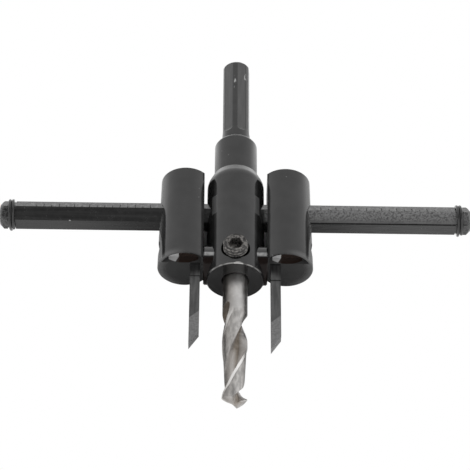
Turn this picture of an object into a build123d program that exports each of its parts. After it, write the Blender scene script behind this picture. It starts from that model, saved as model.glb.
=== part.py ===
from build123d import *
import os
from math import acos, cos, degrees, radians, sin, sqrt, tan

# Adjustable circle cutter, lying on the back of its hub.
# +X runs along the cross bar, +Y points to the drive shank, +Z points out of the front,
# the side with the screw that clamps the pilot drill. All lengths are in millimetres.
# The origin is on the resting surface, under the middle of the whole tool.
# "Reach" is a distance along the tool's axis, measured from the middle of the cross bar.

# Hub, collar and drive shank, one turned piece
hub_diameter = 18.8
hub_reach_down = 26.7
hub_reach_up = 17.0
hub_shoulder_length = 3.9
hub_shoulder_ledge = 0.5
hub_shoulder_radius = 6.0
hub_shoulder_edge = 0.35
hub_foot_chamfer = 0.4
hub_boss_diameter = 10.8
hub_boss_height = 7.0
hub_boss_proud = 0.95
hub_boss_rim = 0.4
collar_diameter = 14.2
collar_length = 15.1
collar_top_length = 1.3
collar_top_ledge = 1.4
collar_top_radius = 1.0
collar_top_edge = 0.3
collar_root_radius = 0.2
shank_diameter = 9.36
shank_length = 36.05
shank_neck_length = 3.9
shank_root_radius = 1.1
shank_flats = 8.7
shank_mill_radius = 3.5
shank_turn = -6.0
shank_end_radius = 1.0

# Cross bar and its stop rings
bar_flats = 8.0
bar_length = 154.8
bar_end_chamfer = 1.3
ring_wire = 1.0
ring_turns = 1.5
ring_start = -75.0
ring_inset = 3.8
ring_groove_depth = 0.4
ring_play = 0.04

# Pilot drill
drill_diameter = 8.0
drill_stick_out = 48.5
drill_seat_wall = 1.3
drill_plain_length = 10.8
drill_point_angle = 118.0
drill_lip_clearance = 11.0
drill_web = 1.5
drill_pitch = 52.8
drill_flute_radius = 2.75
drill_run_out = 10.0
drill_turn = 127.5
drill_margin = 1.0
drill_margin_step = 0.25
drill_heel_relief = 0.8
drill_relief_lag = 2.6
drill_relief_run = 7.0
drill_shank_chamfer = 0.5

# Screw that clamps the pilot drill
drill_screw_diameter = 8.0
drill_screw_height = 6.8
drill_screw_proud = 2.3
drill_screw_socket = 4.0
drill_screw_sink = 0.35

# Cutter holders, at the smallest setting
holder_reach_up = 14.7
holder_reach_down = 21.8
holder_top_diameter = 16.4
holder_foot_diameter = 17.4
holder_flat = 6.1
holder_rim_chamfer = 0.3
foot_pocket_depth = 2.4
foot_pocket_start = 3.2
foot_pocket_lip = 0.7

# Screws that clamp the holders on the bar
bar_screw_diameter = 8.0
bar_screw_proud = 1.2
bar_screw_socket = 4.0

# Cutters and the screws that clamp them
cutter_width = 3.2
cutter_depth = 4.8
cutter_front = 2.3
cutter_inset = 3.5
cutter_stick_out = 32.4
cutter_set = 0.75
cutter_grip = 15.0
cutter_step_drop = 5.2
cutter_step = 0.35
cutter_slant_rise = 5.0
cutter_end_relief = 12.0
cutter_rake_length = 10.1
cutter_rake_slope = 42.5
cutter_rake_depth = 0.45
cutter_screw_diameter = 6.0
cutter_screw_height = 7.4
cutter_screw_sink = 0.5
cutter_screw_socket = 3.0

# Clearances
slide_clearance = 0.10
round_clearance = 0.05
touch_gap = 0.05
socket_depth_ratio = 0.9
screw_end_chamfer = 0.6

# How far a cut runs past what it cuts, and how close two sizes are when they count as the same
cut_over = 1.0
same_size = 0.01

# Places worked out from the sizes above
shank_reach = hub_reach_up + collar_length + shank_length
drill_reach = hub_reach_down + drill_stick_out
bar_y = (drill_reach - shank_reach) / 2
axis_z = hub_diameter / 2
boss_end = hub_diameter / 2 + hub_boss_proud
boss_reach = -(hub_reach_down - hub_boss_height)
holder_offset = boss_end + touch_gap + holder_flat
drill_top = -(bar_flats / 2 + drill_seat_wall)
drill_screw_reach = -(hub_reach_down - drill_screw_height)
cutter_screw_reach = -(holder_reach_down - cutter_screw_height)
cutter_top = -(holder_reach_down - cutter_grip)
cutter_tip = -(holder_reach_down + cutter_stick_out)
ring_x = bar_length / 2 - ring_inset
bar_across_corners = bar_flats / cos(radians(30))
groove_diameter = bar_across_corners - 2 * ring_groove_depth
ring_pitch = ring_wire + ring_play

# The front plane holds the tool's axis: its x is +X and its y is the reach along the axis
front_plane = Plane((0, bar_y, axis_z))
tool_axis = Axis((0, bar_y, axis_z), (0, 1, 0))
bar_axis = Axis((0, bar_y, axis_z), (1, 0, 0))


def cross_plane(reach, x=0.0, front=0.0):
    """Plane across the tool's axis: its x is +X, its y is +Z, and it faces the drill's tip."""
    return Plane((x, bar_y + reach, axis_z + front), x_dir=(1, 0, 0), z_dir=(0, -1, 0))


def bar_plane(x):
    """Plane across the cross bar: its x is +Y, its y is +Z, and it faces +X."""
    return Plane((x, bar_y, axis_z), x_dir=(0, 1, 0), z_dir=(1, 0, 0))


def bar_hexagon(flats):
    """Hexagon of the cross bar, with two corners front and back, for a sketch on bar_plane."""
    RegularPolygon(flats / 2, 6, major_radius=False, rotation=30)


def polar(radius, turn):
    """Point at that radius and angle in degrees, for a sketch."""
    return (radius * cos(radians(turn)), radius * sin(radians(turn)))


def set_screw(plane, diameter, length, socket, label):
    """Headless screw along the plane's z, with its point on the plane and a hexagon socket at its end."""
    with BuildPart() as screw:
        with BuildSketch(plane):
            Circle(diameter / 2)
        extrude(amount=length)
        ends = screw.edges().filter_by(GeomType.CIRCLE)
        chamfer(ends, screw_end_chamfer)
        with BuildSketch(plane.offset(length)):
            RegularPolygon(socket / 2, 6, major_radius=False)
        extrude(amount=-socket * socket_depth_ratio, mode=Mode.SUBTRACT)
    screw.part.label = label
    return screw.part


# Hub body: body, collar and shank as one turned profile, then the milled and drilled features
collar_reach = hub_reach_up + collar_length
flats_start = collar_reach + shank_neck_length
shoulder_top = collar_diameter + 2 * hub_shoulder_ledge
collar_top = shank_diameter + 2 * collar_top_ledge
with BuildPart() as hub_body:
    with BuildSketch(front_plane):
        with BuildLine():
            Polyline(
                (0, -hub_reach_down),
                (hub_diameter / 2, -hub_reach_down),
                (hub_diameter / 2, hub_reach_up - hub_shoulder_length),
                (shoulder_top / 2, hub_reach_up),
                (collar_diameter / 2, hub_reach_up),
                (collar_diameter / 2, collar_reach - collar_top_length),
                (collar_top / 2, collar_reach),
                (shank_diameter / 2, collar_reach),
                (shank_diameter / 2, shank_reach),
                (0, shank_reach),
                close=True,
            )
        make_face()
    revolve(axis=tool_axis)

    def turned_edge(reach, diameter):
        """The round edge of that diameter at that reach."""
        rounds = hub_body.edges().filter_by(GeomType.CIRCLE)
        level = rounds.filter_by_position(Axis.Y, bar_y + reach - same_size, bar_y + reach + same_size)
        return level.filter_by(lambda edge: abs(edge.radius - diameter / 2) < same_size)

    # Both tapered shoulders run into their cylinders in one smooth curve
    fillet(turned_edge(hub_reach_up - hub_shoulder_length, hub_diameter), hub_shoulder_radius)
    fillet(turned_edge(hub_reach_up, shoulder_top), hub_shoulder_edge)
    fillet(turned_edge(hub_reach_up, collar_diameter), collar_root_radius)
    fillet(turned_edge(collar_reach - collar_top_length, collar_diameter), collar_top_radius)
    fillet(turned_edge(collar_reach, collar_top), collar_top_edge)
    fillet(turned_edge(collar_reach, shank_diameter), shank_root_radius)
    fillet(turned_edge(shank_reach, shank_diameter), shank_end_radius)
    chamfer(turned_edge(-hub_reach_down, hub_diameter), hub_foot_chamfer)

    # Six flats, each milled lengthwise by a disc that leaves a round run-out at the neck
    mill_run = sqrt(shank_mill_radius**2 - (shank_mill_radius - (shank_diameter - shank_flats) / 2) ** 2)
    mill_centre = (shank_flats / 2 + shank_mill_radius, flats_start + mill_run)
    mill_end = shank_reach + cut_over
    for index in range(6):
        turned = front_plane.rotated((0, shank_turn + 60 * index, 0))
        with BuildSketch(turned):
            with Locations(mill_centre):
                Circle(shank_mill_radius)
            with Locations(((shank_flats + shank_diameter) / 2, (mill_centre[1] + mill_end) / 2)):
                Rectangle(shank_diameter, mill_end - mill_centre[1])
        extrude(amount=shank_diameter, both=True, mode=Mode.SUBTRACT)

    # Round boss on each side, which stops the holders at the smallest setting
    boss_plane = Plane((-boss_end, bar_y + boss_reach, axis_z), z_dir=(1, 0, 0))
    with BuildSketch(boss_plane):
        Circle(hub_boss_diameter / 2)
    extrude(amount=2 * boss_end)
    boss_rims = hub_body.edges().filter_by(GeomType.CIRCLE).group_by(Axis.X)
    chamfer(boss_rims[0] + boss_rims[-1], hub_boss_rim)

    # Hexagonal hole for the cross bar
    with BuildSketch(bar_plane(-hub_diameter)):
        bar_hexagon(bar_flats)
    extrude(amount=2 * hub_diameter, mode=Mode.SUBTRACT)

    # Bore for the pilot drill, countersunk at its mouth
    with BuildSketch(front_plane):
        bore_radius = drill_diameter / 2 + round_clearance
        with BuildLine():
            Polyline(
                (0, drill_top + touch_gap),
                (bore_radius, drill_top + touch_gap),
                (bore_radius, -hub_reach_down + hub_foot_chamfer),
                (bore_radius + hub_foot_chamfer, -hub_reach_down),
                (0, -hub_reach_down),
                close=True,
            )
        make_face()
    revolve(axis=tool_axis, mode=Mode.SUBTRACT)

    # Hole for the drill's clamping screw, with a small countersink in the hub's front
    screw_hole = drill_screw_diameter / 2 + round_clearance
    with BuildSketch(front_plane):
        with Locations((0, drill_screw_reach)):
            Circle(screw_hole)
    extrude(amount=hub_diameter, mode=Mode.SUBTRACT)
    with Locations(Plane((0, bar_y + drill_screw_reach, axis_z + hub_diameter / 2))):
        Cone(
            screw_hole,
            screw_hole + 2 * drill_screw_sink,
            2 * drill_screw_sink,
            align=(Align.CENTER, Align.CENTER, Align.MAX),
            mode=Mode.SUBTRACT,
        )
hub_body.part.label = "hub_body"

# Cross bar: drawn hexagon, with turned ends and a turned groove for each stop ring
with BuildPart() as cross_bar:
    with BuildSketch(bar_plane(-bar_length / 2)):
        bar_hexagon(bar_flats)
    extrude(amount=bar_length)
    corner = bar_across_corners / 2 + cut_over
    half_bar = bar_length / 2
    half_groove = (ring_pitch * ring_turns + ring_wire) / 2 + ring_play
    ring_side = groove_diameter / 2
    with BuildSketch(front_plane):
        with BuildLine():
            Polyline(
                (0, 0),
                (0, corner),
                (ring_x - half_groove, corner),
                (ring_x - half_groove, ring_side),
                (ring_x + half_groove, ring_side),
                (ring_x + half_groove, corner),
                (half_bar - bar_end_chamfer - cut_over, corner),
                (half_bar, bar_across_corners / 2 - bar_end_chamfer),
                (half_bar, 0),
                close=True,
            )
        make_face()
        mirror(about=Plane.YZ)
    revolve(axis=bar_axis, mode=Mode.INTERSECT)
cross_bar.part.label = "cross_bar"


def stop_ring(side, label):
    """Spring wire wound one and a half times round the groove: the doubled half is in front."""
    coil_radius = groove_diameter / 2 + ring_play + ring_wire / 2
    coil_length = ring_pitch * ring_turns
    start = (side * ring_x - coil_length / 2, bar_y, axis_z)
    with BuildPart() as ring:
        with BuildLine():
            wound = Helix(ring_pitch, coil_length, coil_radius, start, (1, 0, 0), mode=Mode.PRIVATE)
            coil = add(wound.rotate(bar_axis, ring_start)).edge()
        with BuildSketch(Plane(coil @ 0, z_dir=coil % 0)):
            Circle(ring_wire / 2)
        sweep(path=coil, is_frenet=True)
    ring.part.label = label
    return ring.part


left_stop_ring = stop_ring(-1, "left_stop_ring")
right_stop_ring = stop_ring(1, "right_stop_ring")

# Pilot drill: round blank with two helical flutes that run out below the plain shank
drill_radius = drill_diameter / 2
flute_top = -(hub_reach_down + drill_plain_length)
flute_offset = drill_web / 2 + drill_flute_radius
relief_outer = drill_radius + 2 * cut_over
flute_length = drill_reach + flute_top + drill_diameter
tip_turn = drill_turn + 360 * (drill_reach + flute_top) / drill_pitch
flute_cosine = (drill_radius**2 + flute_offset**2 - drill_flute_radius**2) / (2 * drill_radius * flute_offset)
lip_turn = tip_turn - degrees(acos(flute_cosine))
tip_point = Vector(0, bar_y - drill_reach, axis_z)


def run_out(top, length, radius):
    """Half outline of the core that stays above a groove: it widens from that radius to the drill's surface."""
    with BuildSketch(front_plane) as outline:
        with BuildLine():
            core = Line((0, flute_top + cut_over), (0, top - length))
            step = Line(core @ 1, (radius, top - length))
            curve = TangentArc(step @ 1, (drill_radius + cut_over, top), tangent=(0, 1))
            side = Line(curve @ 1, (relief_outer + cut_over, top))
            rise = Line(side @ 1, (relief_outer + cut_over, flute_top + cut_over))
            Line(rise @ 1, core @ 0)
        make_face()
    return outline.sketch


def helical_groove(section, outline):
    """Groove that this section cuts from the top of the flutes to beyond the point, less its run-out."""
    start = (0, bar_y + flute_top, axis_z)
    turn = 360 * flute_length / drill_pitch
    with BuildPart() as groove:
        add(Solid.extrude_linear_with_rotation(section, start, (0, -flute_length, 0), turn))
        revolve(outline, axis=tool_axis, mode=Mode.SUBTRACT)
    return groove.part


with BuildSketch(cross_plane(flute_top)) as flute_sections:
    with PolarLocations(flute_offset, 2, start_angle=drill_turn):
        Circle(drill_flute_radius)

# Behind its narrow margin each land falls away towards its heel
heel_turn = degrees(acos(flute_cosine))
margin_turn = 180 - heel_turn - degrees(drill_margin / drill_radius)
with BuildSketch(cross_plane(flute_top)) as relief_sections:
    for turn in (drill_turn, drill_turn + 180):
        with BuildLine():
            inner = RadiusArc(
                polar(drill_radius - drill_margin_step, turn + margin_turn),
                polar(drill_radius - drill_heel_relief, turn + heel_turn),
                drill_radius,
            )
            heel = Line(inner @ 1, polar(relief_outer, turn + heel_turn / 2))
            outer = RadiusArc(heel @ 1, polar(relief_outer, turn + margin_turn), -relief_outer)
            Line(outer @ 1, inner @ 0)
        make_face()

flute_end = run_out(flute_top, drill_run_out, drill_web / 4)
relief_end = run_out(flute_top - drill_relief_lag, drill_relief_run, drill_radius - 2 * drill_heel_relief)
grooves = [helical_groove(face, flute_end) for face in flute_sections.sketch.faces()]
grooves += [helical_groove(face, relief_end) for face in relief_sections.sketch.faces()]

with BuildPart() as pilot_drill:
    # The blank is turned so that its own seam line lies between the flutes at the point
    with BuildSketch(cross_plane(drill_top).rotated((0, -tip_turn - 90, 0))):
        Circle(drill_radius)
    extrude(amount=drill_reach + drill_top)
    chamfer(pilot_drill.edges().sort_by(Axis.Y)[-1], drill_shank_chamfer)
    for groove in grooves:
        add(groove, mode=Mode.SUBTRACT)
    # Each lip's flank is a plane that falls to the rim and away behind the lip; they meet in the chisel edge
    for turn in (lip_turn, lip_turn + 180):
        outwards = Vector(cos(radians(turn)), 0, sin(radians(turn)))
        ahead = Vector(-sin(radians(turn)), 0, cos(radians(turn)))
        fall = 1 / tan(radians(drill_point_angle / 2))
        normal = outwards * fall - ahead * tan(radians(drill_lip_clearance)) + Vector(0, -1, 0)
        split(bisect_by=Plane(tip_point, z_dir=normal), keep=Keep.BOTTOM)
pilot_drill.part.label = "pilot_drill"

drill_screw = set_screw(
    Plane((0, bar_y + drill_screw_reach, axis_z + drill_radius + touch_gap)),
    drill_screw_diameter,
    hub_diameter / 2 + drill_screw_proud - drill_radius - touch_gap,
    drill_screw_socket,
    "drill_set_screw",
)


def holder_radius(reach):
    """Radius of the tapered holder at that reach."""
    share = (reach + holder_reach_down) / (holder_reach_up + holder_reach_down)
    return (holder_foot_diameter + share * (holder_top_diameter - holder_foot_diameter)) / 2


def holder(side, label):
    """Cutter holder on that side of the hub (-1 left, +1 right), flat on the side next to the hub."""
    x = side * holder_offset
    foot = -holder_reach_down
    with BuildPart() as body:
        with BuildSketch(Plane((x, bar_y, axis_z))):
            with BuildLine():
                Polyline(
                    (0, foot),
                    (holder_radius(foot) - holder_rim_chamfer, foot),
                    (holder_radius(foot + holder_rim_chamfer), foot + holder_rim_chamfer),
                    (holder_radius(holder_reach_up), holder_reach_up),
                    (0, holder_reach_up),
                    close=True,
                )
            make_face()
        revolve(axis=Axis((x, bar_y, axis_z), (0, 1, 0)))
        flat_plane = Plane((x - side * holder_flat, bar_y, axis_z), z_dir=(side, 0, 0))
        split(bisect_by=flat_plane, keep=Keep.TOP)

        # Shallow pocket in the front part of the foot, behind a thin lip
        with BuildSketch(cross_plane(foot, x)):
            Circle(holder_radius(foot) - foot_pocket_lip)
            with Locations((side * (foot_pocket_lip - holder_flat), -holder_foot_diameter)):
                Rectangle(
                    2 * holder_foot_diameter,
                    2 * (holder_foot_diameter + foot_pocket_start),
                    mode=Mode.SUBTRACT,
                )
            with Locations((-side * (holder_flat - foot_pocket_lip + holder_foot_diameter), 0)):
                Rectangle(2 * holder_foot_diameter, 2 * holder_foot_diameter, mode=Mode.SUBTRACT)
        extrude(amount=-foot_pocket_depth, mode=Mode.SUBTRACT)

        # Hexagonal bore that slides on the cross bar
        with BuildSketch(bar_plane(x - holder_foot_diameter)):
            bar_hexagon(bar_flats + 2 * slide_clearance)
        extrude(amount=2 * holder_foot_diameter, mode=Mode.SUBTRACT)

        # Pocket for the cutter, from the foot upwards
        cutter_x = x - side * cutter_inset
        pocket_top = cutter_top + cutter_set + touch_gap
        with BuildSketch(cross_plane(pocket_top, cutter_x, cutter_front - cutter_depth / 2)):
            Rectangle(cutter_width + 2 * round_clearance, cutter_depth + 2 * round_clearance)
        extrude(amount=pocket_top - foot, mode=Mode.SUBTRACT)

        # Tapped holes for the bar screw in the top and for the cutter screw in the outer side
        with BuildSketch(cross_plane(holder_reach_up, x)):
            Circle(bar_screw_diameter / 2 + round_clearance)
        extrude(amount=holder_reach_up, mode=Mode.SUBTRACT)
        outer = Plane((cutter_x, bar_y + cutter_screw_reach, axis_z), z_dir=(side, 0, 0))
        with BuildSketch(outer):
            Circle(cutter_screw_diameter / 2 + round_clearance)
        extrude(amount=holder_foot_diameter, mode=Mode.SUBTRACT)
    body.part.label = label
    return body.part


def bar_screw(side, label):
    """Set screw that clamps the holder on the upper flat of the cross bar."""
    tip = bar_flats / 2 + touch_gap
    plane = Plane((side * holder_offset, bar_y + tip, axis_z), z_dir=(0, 1, 0))
    length = holder_reach_up + bar_screw_proud - tip
    return set_screw(plane, bar_screw_diameter, length, bar_screw_socket, label)


def cutter_screw(side, label):
    """Set screw that clamps the cutter from the holder's outer side."""
    tip = cutter_width / 2 + touch_gap - cutter_inset
    plane = Plane((side * (holder_offset + tip), bar_y + cutter_screw_reach, axis_z), z_dir=(side, 0, 0))
    length = holder_radius(cutter_screw_reach) - cutter_screw_sink - tip
    return set_screw(plane, cutter_screw_diameter, length, cutter_screw_socket, label)


def cutter(side, label):
    """Flat-bar cutter, ground to a slanted point; both stand the same way round in their holders.

    The left one is set a little deeper in its holder than the right one.
    """
    x = side * (holder_offset - cutter_inset)
    left = x - cutter_width / 2
    right = x + cutter_width / 2
    front = axis_z + cutter_front
    back = front - cutter_depth
    shift = -side * cutter_set
    step = shift - (holder_reach_down + cutter_step_drop)
    point = bar_y + cutter_tip + shift
    with BuildPart() as bar:
        with BuildSketch(cross_plane(cutter_top + shift, x, cutter_front - cutter_depth / 2)):
            Rectangle(cutter_width, cutter_depth)
        extrude(amount=cutter_top - cutter_tip)
        # The front is ground back from the step to the tip
        with BuildSketch(cross_plane(step, x, cutter_front)):
            Rectangle(cutter_width, 2 * cutter_step)
        extrude(amount=step - shift - cutter_tip, mode=Mode.SUBTRACT)
        # Slanted end: it rises from the point on the left, and back from the front
        tip = Vector(left, point, front)
        slant = Vector(cutter_slant_rise, -cutter_width, 0)
        relief = Vector(0, 0, -tan(radians(cutter_end_relief)) * cutter_width)
        split(bisect_by=Plane(tip, z_dir=slant + relief), keep=Keep.BOTTOM)
        # Rake facet, ground into the front below a slanting line
        face_front = front - cutter_step
        rake_tip = Vector(left, point, face_front - cutter_rake_depth)
        rake_left = Vector(left, point + cutter_rake_length, face_front)
        rake_rise = cutter_width * tan(radians(cutter_rake_slope))
        rake_right = Vector(right, point + cutter_rake_length + rake_rise, face_front)
        rake_normal = (rake_left - rake_tip).cross(rake_right - rake_tip)
        rake_normal = rake_normal * (1 if rake_normal.Z > 0 else -1)
        split(bisect_by=Plane(rake_tip, z_dir=rake_normal), keep=Keep.BOTTOM)
    bar.part.label = label
    return bar.part


pieces = [
    hub_body.part,
    cross_bar.part,
    left_stop_ring,
    right_stop_ring,
    pilot_drill.part,
    drill_screw,
]
for side, name in ((-1, "left"), (1, "right")):
    pieces += [
        holder(side, f"{name}_holder"),
        bar_screw(side, f"{name}_bar_screw"),
        cutter(side, f"{name}_cutter"),
        cutter_screw(side, f"{name}_cutter_screw"),
    ]

os.makedirs("parts", exist_ok=True)
for piece in pieces:
    export_step(piece, f"parts/{piece.label}.step")
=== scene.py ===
"""Looks of the adjustable circle cutter, lying on the back of its hub on a white table."""

import logging
from dataclasses import dataclass
from enum import Enum
from math import acos, cos, pi, radians, sin, tan
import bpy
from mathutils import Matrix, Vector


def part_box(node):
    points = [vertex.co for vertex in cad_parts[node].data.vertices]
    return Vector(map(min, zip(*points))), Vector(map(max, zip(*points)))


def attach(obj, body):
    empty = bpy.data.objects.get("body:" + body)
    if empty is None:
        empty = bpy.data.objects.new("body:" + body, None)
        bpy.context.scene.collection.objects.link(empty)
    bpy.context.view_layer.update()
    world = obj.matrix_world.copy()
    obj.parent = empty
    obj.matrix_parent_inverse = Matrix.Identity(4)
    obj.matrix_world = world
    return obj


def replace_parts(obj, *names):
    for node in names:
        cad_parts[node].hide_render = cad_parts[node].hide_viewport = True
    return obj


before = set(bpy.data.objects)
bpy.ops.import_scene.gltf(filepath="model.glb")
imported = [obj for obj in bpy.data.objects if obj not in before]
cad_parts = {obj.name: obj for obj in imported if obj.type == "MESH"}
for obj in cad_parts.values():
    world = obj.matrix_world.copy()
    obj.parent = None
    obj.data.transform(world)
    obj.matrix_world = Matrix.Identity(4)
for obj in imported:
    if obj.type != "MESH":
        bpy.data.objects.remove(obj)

from types import SimpleNamespace
from typing import Callable, Sequence

import bmesh
import bpy
from mathutils import Matrix, Vector

LOG = logging.getLogger("circle_cutter")
MM = 0.001
MERGE = 0.002 * MM

Colour = tuple[float, float, float, float]
Span = tuple[float, float]
Triple = tuple[float, float, float]
Number = "Value | float"
Look = "Value | Tone | Colour | float"
Socket = bpy.types.NodeSocket
Material = bpy.types.Material
Mesh = bpy.types.Mesh
Shape = bmesh.types.BMesh
Vert = bmesh.types.BMVert


def middle(node: str) -> Vector:
    """Middle of a CAD node's box."""
    low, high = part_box(node)
    return (low + high) / 2


# The hub's axis runs along +Y at this height above the table, and the bar crosses it here.
CROSSING = middle("cross_bar")
BAR_Y, AXIS_Z = CROSSING.yz


class Side(Enum):
    """Side of the hub that a holder stands on, with its sign along +X."""

    LEFT = -1
    RIGHT = 1

    def node(self, piece: str) -> str:
        """Name of this side's CAD node for that piece."""
        return f"{self.name.lower()}_{piece}"


class Turned(Enum):
    """Direction that a surface was worked along, as the stretch of the fine lines that the tool left."""

    ROUND_Y = (0.02, 1.0, 0.02)
    ALONG_X = (0.02, 1.0, 1.0)
    ALONG_Y = (1.0, 0.02, 1.0)
    NONE = (1.0, 1.0, 1.0)


def add_object(name: str, data: Mesh | bpy.types.Camera) -> bpy.types.Object:
    """New object of the scene that shows the data."""
    made = bpy.data.objects.new(name, data)
    bpy.context.scene.collection.objects.link(made)
    return made


# ---- node trees ----


def operator(operation: str, swapped: bool = False) -> "Callable[..., Value]":
    """Method that makes a Math node of a value and what it is joined with.

    Args:
        operation: The node's operation.
        swapped: Whether the value comes last.

    Returns:
        The method.
    """

    def join(self: "Value", *others: Number) -> "Value":
        """Result of the node."""
        return self.owner.math(operation, *((*others, self) if swapped else (self, *others)))

    return join


class Value:
    """A node's output, which plain operators work on."""

    def __init__(self, owner: "Tree", socket: Socket) -> None:
        """Wraps an output of a node in the owner's tree."""
        self.owner, self.socket = owner, socket

    __add__, __sub__, __rsub__ = operator("ADD"), operator("SUBTRACT"), operator("SUBTRACT", swapped=True)
    __mul__, __truediv__, __abs__ = operator("MULTIPLY"), operator("DIVIDE"), operator("ABSOLUTE")


class Tree:
    """A node tree that is built one node at a time."""

    def __init__(self, tree: bpy.types.NodeTree) -> None:
        """Empties the tree, to fill it anew."""
        self.tree = tree
        self.tree.nodes.clear()

    def add(self, kind: str, inputs: dict | None = None, **settings: object) -> bpy.types.Node:
        """Adds a node.

        Args:
            kind: The node's type.
            inputs: Numbers or values for its inputs, by name or by index.
            settings: Properties of the node itself.

        Returns:
            The new node.
        """
        node = self.tree.nodes.new(kind)
        for name, value in settings.items():
            setattr(node, name, value)
        for name, value in (inputs or {}).items():
            self.feed(node.inputs[name], value)
        return node

    def get(self, kind: str, inputs: dict | None = None, out: int | str = 0, **settings: object) -> Value:
        """Adds a node and takes one of its outputs, by name or by index."""
        return Value(self, self.add(kind, inputs, **settings).outputs[out])

    def feed(self, socket: Socket, value: object) -> None:
        """Links a value to that input, or sets the input's own number."""
        if isinstance(value, Value):
            self.tree.links.new(value.socket, socket)
        else:
            socket.default_value = value

    def math(self, operation: str, *values: Number, clamp: bool = False) -> Value:
        """Result of one Math node, kept within 0 and 1 by clamp."""
        return self.get("ShaderNodeMath", dict(enumerate(values)), operation=operation, use_clamp=clamp)

    def most(self, first: Number, second: Number) -> Value:
        """The larger one."""
        return self.math("MAXIMUM", first, second)

    def least(self, first: Number, second: Number) -> Value:
        """The smaller one."""
        return self.math("MINIMUM", first, second)

    def parts(self, vector: Value) -> list[Value]:
        """X, Y and Z of a vector."""
        return [Value(self, part) for part in self.add("ShaderNodeSeparateXYZ", {0: vector}).outputs]

    def vector(self, x: Number = 0.0, y: Number = 0.0, z: Number = 0.0) -> Value:
        """Vector of three parts."""
        return self.get("ShaderNodeCombineXYZ", {0: x, 1: y, 2: z})

    def ramp(self, value: Value, low: float, high: float, start: Number = 0.0, end: Number = 1.0) -> Value:
        """Smooth change from start to end while value goes from low to high."""
        inputs = {"Value": value, "From Min": low, "From Max": high, "To Min": start, "To Max": end}
        return self.get("ShaderNodeMapRange", inputs, interpolation_type="SMOOTHSTEP")

    def fall(self, value: Value, low: float, high: float) -> Value:
        """Smooth change from 1 to 0 while value goes from low to high."""
        return self.ramp(value, low, high, 1.0, 0.0)

    def mix(self, share: Number, first: object, second: object, blend: str = "MIX") -> Value:
        """Colour that is the first one at share 0 and the second at share 1."""
        return self.get("ShaderNodeMix", {0: share, 6: first, 7: second}, 2, data_type="RGBA", blend_type=blend)


def grey(level: float, warm: float = 0.0) -> Colour:
    """Grey of that linear brightness, with its red raised and its blue lowered by the share warm."""
    return (level * (1 + warm), level, level * (1 - warm), 1.0)


def corner(node: str) -> Vector:
    """Low corner of a CAD node's box, in millimetres from where the bar crosses the hub's axis."""
    return (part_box(node)[0] - CROSSING) / MM


@dataclass(frozen=True)
class Tone:
    """Two greys that a surface varies between in patches, each made slightly warmer."""

    levels: Span
    scale: float
    detail: float = 3.0
    stretch: Triple = (1, 1, 1)
    edges: Span = (0.3, 0.7)
    warm: Span = (0.0, 0.0)


@dataclass(frozen=True)
class Grain:
    """Fine relief that a worked steel surface keeps."""

    worked: Turned = Turned.NONE
    line_scale: float = 2600.0
    line_depth: float = 0.0
    pit_scale: float = 5200.0
    pit_depth: float = 0.0


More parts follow.
